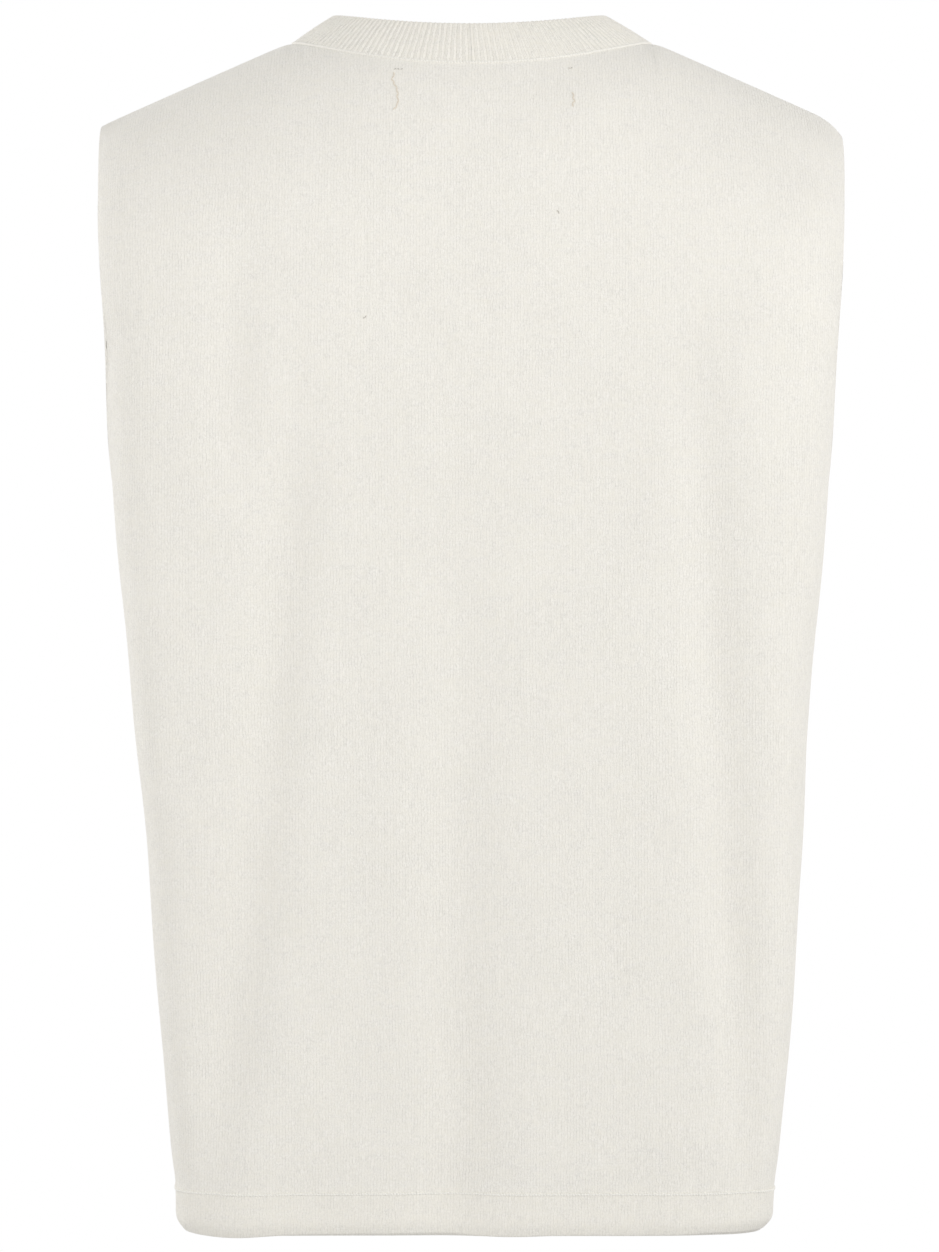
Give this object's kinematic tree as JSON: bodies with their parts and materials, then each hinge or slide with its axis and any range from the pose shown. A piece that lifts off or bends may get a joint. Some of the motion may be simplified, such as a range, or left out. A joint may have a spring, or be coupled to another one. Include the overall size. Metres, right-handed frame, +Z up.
{
  "type": "knitted sweater vest",
  "caption": "Boxy sleeveless knitted vest with a rib crew neckband, wide open armholes and a plain hem band, held hollow and filled out as if worn.",
  "frame": {"origin": "midway between the two high shoulder points, where the shoulder lines meet the neckband", "axes": "+Z up, out of the neck; -Y towards the chest, +Y towards the back; +X towards the wearer's left"},
  "size_m": [0.4139, 0.2151, 0.6694],
  "materials": {
    "body_knit": "fine plain knit in off-white brushed wool, soft and matt",
    "rib_knit": "fine one-by-one rib in the same wool, matt",
    "hem_knit": "doubled plain knit band in the same wool, matt"
  },
  "bodies": {
    "root": {"back_panel": "body_knit", "front_panel": "body_knit", "neckband": "rib_knit", "hem_back": "hem_knit", "hem_front": "hem_knit"}
  },
  "joints": []
}
